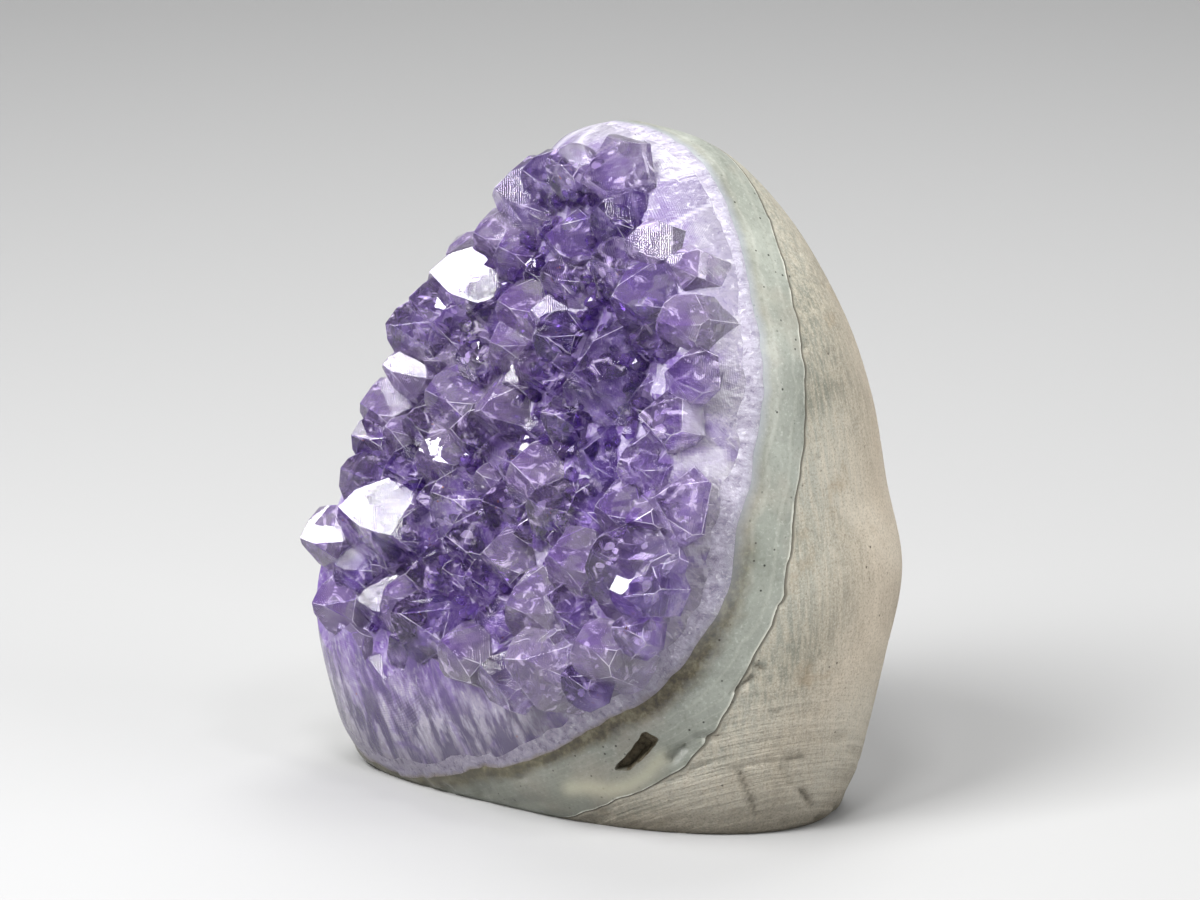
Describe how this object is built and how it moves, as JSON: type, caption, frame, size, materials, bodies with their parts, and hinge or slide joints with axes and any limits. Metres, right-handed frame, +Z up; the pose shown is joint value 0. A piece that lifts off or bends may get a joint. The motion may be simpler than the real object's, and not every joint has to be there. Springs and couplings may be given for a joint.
{
  "type": "amethyst cluster",
  "caption": "Free-standing wedge of amethyst geode with an open crystal face, an agate band and a smooth-ground rock back, on a flat cut base.",
  "frame": {"origin": "middle of the flat cut base", "axes": "+Z up, the crystal face looks towards -Y, +X to the right of it"},
  "size_m": [0.1018, 0.0735, 0.1146],
  "materials": {
    "basalt": "smooth-ground volcanic rock, matte, warm grey beige with fine saw and grinding marks",
    "agate": "ground agate, grey-green, semi-gloss, with dark specks and a brown rim",
    "amethyst": "clear violet quartz crystals, white and veiled at their roots"
  },
  "bodies": {
    "root": {"basalt_matrix": "basalt", "agate_band": "agate", "amethyst_crystals": "amethyst"}
  },
  "joints": []
}
